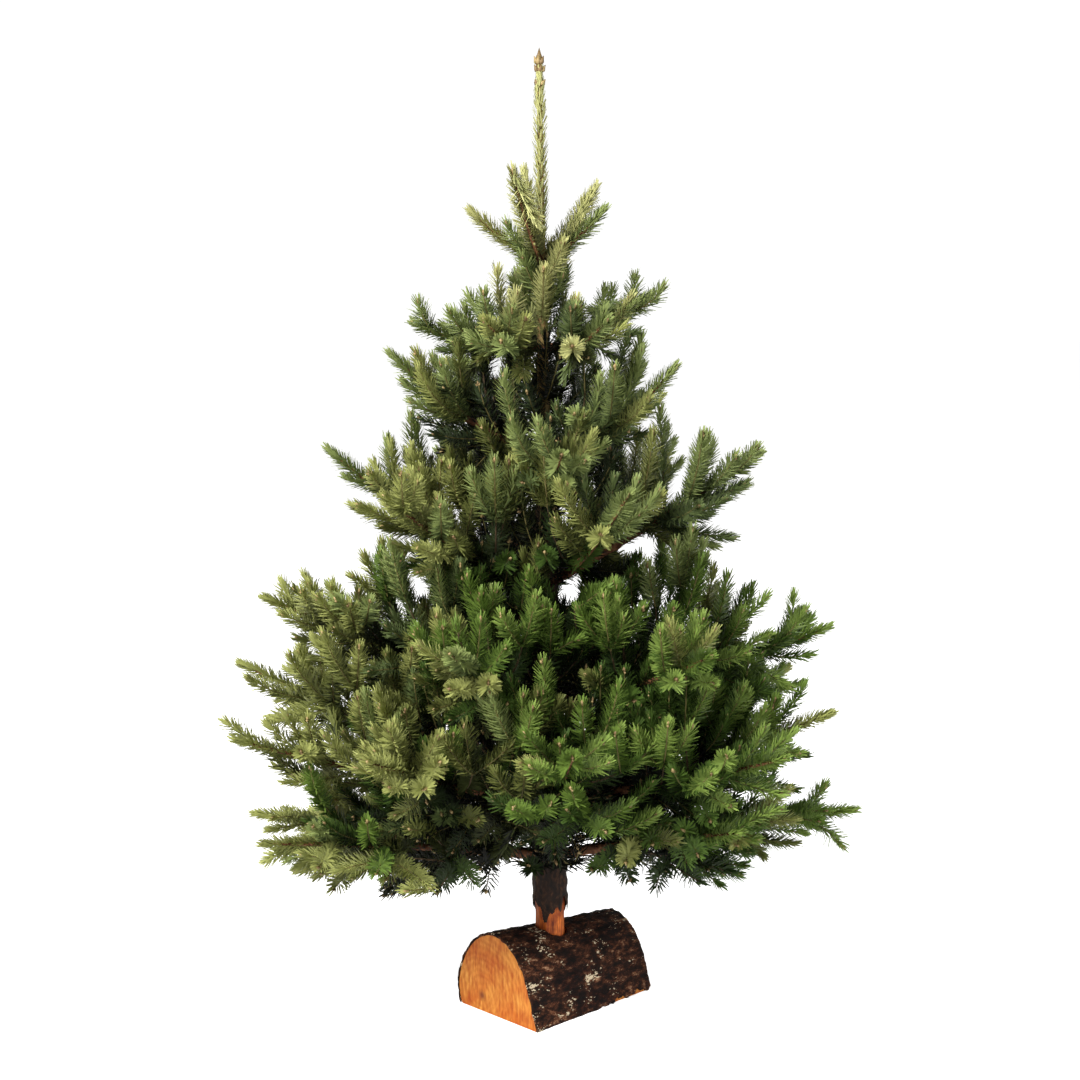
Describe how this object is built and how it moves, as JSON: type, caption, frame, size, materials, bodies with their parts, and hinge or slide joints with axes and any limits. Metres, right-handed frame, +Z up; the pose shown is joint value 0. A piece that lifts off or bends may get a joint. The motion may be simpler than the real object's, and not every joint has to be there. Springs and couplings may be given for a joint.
{
  "type": "christmas tree",
  "caption": "Cut young fir sold as a christmas tree: bare leader, tiers of dense upswept boughs, and a drilled half log as its stand.",
  "frame": {"origin": "on the log stand's flat underside, at floor level, straight under the axis of the socket that holds the trunk", "axes": "+Z up along the trunk; -Y towards the front of the tree; +X to the right seen from the front"},
  "size_m": [0.9287, 0.8567, 1.4],
  "materials": {
    "log": "rough dark bark round the log, sawn orange-tan wood on its ends and underside",
    "bark": "matt brown bark on the trunk, over a whittled orange foot",
    "limb": "matt grey-brown bark on the boughs",
    "foliage": "dense short needles, olive to blue-green, slightly waxy"
  },
  "bodies": {
    "root": {"foliage_lowest_1": "foliage", "foliage_lowest_2": "foliage", "foliage_lowest_3": "foliage", "foliage_lowest_4": "foliage", "foliage_lowest_5": "foliage", "foliage_middle_1": "foliage", "foliage_middle_2": "foliage", "foliage_middle_3": "foliage", "foliage_middle_4": "foliage", "foliage_middle_5": "foliage", "foliage_middle_6": "foliage", "foliage_shoulder_1": "foliage", "foliage_shoulder_2": "foliage", "foliage_shoulder_3": "foliage", "foliage_shoulder_4": "foliage", "foliage_shoulder_5": "foliage", "foliage_skirt_1": "foliage", "foliage_skirt_2": "foliage", "foliage_skirt_3": "foliage", "foliage_skirt_4": "foliage", "foliage_skirt_5": "foliage", "foliage_skirt_6": "foliage", "foliage_skirt_7": "foliage", "foliage_skirt_8": "foliage", "foliage_top_1": "foliage", "foliage_top_2": "foliage", "foliage_top_3": "foliage", "foliage_top_4": "foliage", "foliage_top_5": "foliage", "foliage_upper_1": "foliage", "foliage_upper_2": "foliage", "foliage_upper_3": "foliage", "foliage_upper_4": "foliage", "foliage_upper_5": "foliage", "foliage_waist_1": "foliage", "foliage_waist_2": "foliage", "foliage_waist_3": "foliage", "foliage_waist_4": "foliage", "foliage_waist_5": "foliage", "limb_lowest_1": "limb", "limb_lowest_2": "limb", "limb_lowest_3": "limb", "limb_lowest_4": "limb", "limb_lowest_5": "limb", "limb_middle_4": "limb", "limb_skirt_1": "limb", "limb_skirt_2": "limb", "limb_skirt_3": "limb", "limb_skirt_4": "limb", "limb_skirt_5": "limb", "limb_skirt_6": "limb", "limb_skirt_7": "limb", "limb_skirt_8": "limb", "limb_waist_1": "limb", "limb_waist_2": "limb", "limb_waist_3": "limb", "limb_waist_4": "limb", "limb_waist_5": "limb", "log_stand": "log", "trunk": "bark"}
  },
  "joints": []
}
